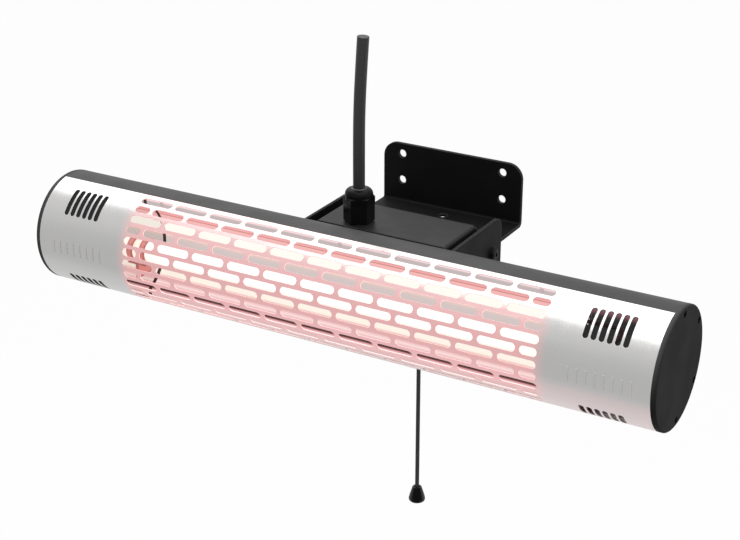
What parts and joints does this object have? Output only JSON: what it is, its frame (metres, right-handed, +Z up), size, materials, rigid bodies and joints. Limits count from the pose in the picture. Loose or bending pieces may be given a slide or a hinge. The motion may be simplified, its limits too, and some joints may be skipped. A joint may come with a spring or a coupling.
{
  "type": "wall-mounted patio heater",
  "caption": "Slotted tube heater on a tilting wall yoke, with a terminal box, a cable gland, a supply cord stub and a hanging pull-cord switch.",
  "frame": {"origin": "middle of the four wall bolts, on the plate's back face, where the wall is", "axes": "+X along the tube to the right as seen from the room, +Y into the wall, +Z up; the grille faces -Y"},
  "size_m": [0.614, 0.2549, 0.4759],
  "materials": {
    "bracket_paint": "satin black powder coat on folded steel sheet",
    "black_fasteners": "black-finished steel",
    "inner_steel": "bare steel",
    "friction_pads": "dark friction washer",
    "housing_coat": "black-coated aluminium extrusion",
    "grille_steel": "fine brushed stainless steel",
    "cap_plastic": "matt black moulding",
    "reflector_metal": "polished aluminium",
    "quartz": "clear quartz, lit",
    "filament": "glowing element",
    "ceramic": "white ceramic",
    "lead_sleeve": "heat-proof sleeve",
    "box_coat": "black-coated casting",
    "seal_rubber": "soft black rubber",
    "gland_plastic": "black nylon",
    "cord_rubber": "black rubber sheath",
    "terminal_plastic": "white moulding",
    "terminal_brass": "plain brass",
    "switch_plastic": "black moulding",
    "pull_braid": "black braided cord",
    "knob_plastic": "glossy black moulding"
  },
  "bodies": {
    "wall_bracket": {"wall_plate": "bracket_paint", "left_cheek": "bracket_paint", "right_cheek": "bracket_paint", "pivot_bolts": "black_fasteners", "pivot_washers": "black_fasteners", "friction_washers": "friction_pads", "pivot_nuts": "inner_steel"},
    "heater": {"end_cap_screws": "black_fasteners", "cover_screws": "black_fasteners", "seam_rivets": "inner_steel", "saddle_screws": "inner_steel", "left_bulkhead": "inner_steel", "right_bulkhead": "inner_steel", "left_lamp_clip": "inner_steel", "right_lamp_clip": "inner_steel", "rear_housing": "housing_coat", "front_grille": "grille_steel", "left_end_cap": "cap_plastic", "right_end_cap": "cap_plastic", "reflector": "reflector_metal", "quartz_tube": "quartz", "heating_filament": "filament", "left_ceramic_end": "ceramic", "right_ceramic_end": "ceramic", "left_lead": "lead_sleeve", "right_lead": "lead_sleeve", "switch_leads": "lead_sleeve", "supply_cores": "lead_sleeve", "terminal_box": "box_coat", "box_cover": "box_coat", "cover_gasket": "seal_rubber", "saddle_gasket": "seal_rubber", "gland_washer": "seal_rubber", "gland_seal": "seal_rubber", "gland_body": "gland_plastic", "gland_dome_nut": "gland_plastic", "gland_locknut": "gland_plastic", "cord_tail": "cord_rubber", "power_cord": "cord_rubber", "terminal_block": "terminal_plastic", "terminal_screws": "terminal_brass", "pull_switch": "switch_plastic"},
    "pull_slider": {"pull_rod": "inner_steel"},
    "hanging_pull": {"cord_clip": "switch_plastic", "pull_cord": "pull_braid", "pull_knob": "knob_plastic", "cord_knot": "pull_braid"}
  },
  "joints": [
    {"name": "tilt", "type": "hinge", "parent": "wall_bracket", "child": "heater", "pos_m": [0, -0.0685, -0.041], "axis": [1, 0, 0], "range_deg": [0, 45]},
    {"name": "pull", "type": "slide", "parent": "heater", "child": "pull_slider", "axis": [0, 0, -1], "range_m": [0, 0.01], "stiffness_N_per_m": 400, "springref_m": -0.004},
    {"name": "cord_swing", "type": "hinge", "parent": "pull_slider", "child": "hanging_pull", "pos_m": [0.0145, -0.092, -0.0853], "axis": [1, 0, 0], "range_deg": [-45, 0]}
  ],
  "couplings": [
    {"joint": "cord_swing", "follows": "tilt", "ratio": -1}
  ]
}
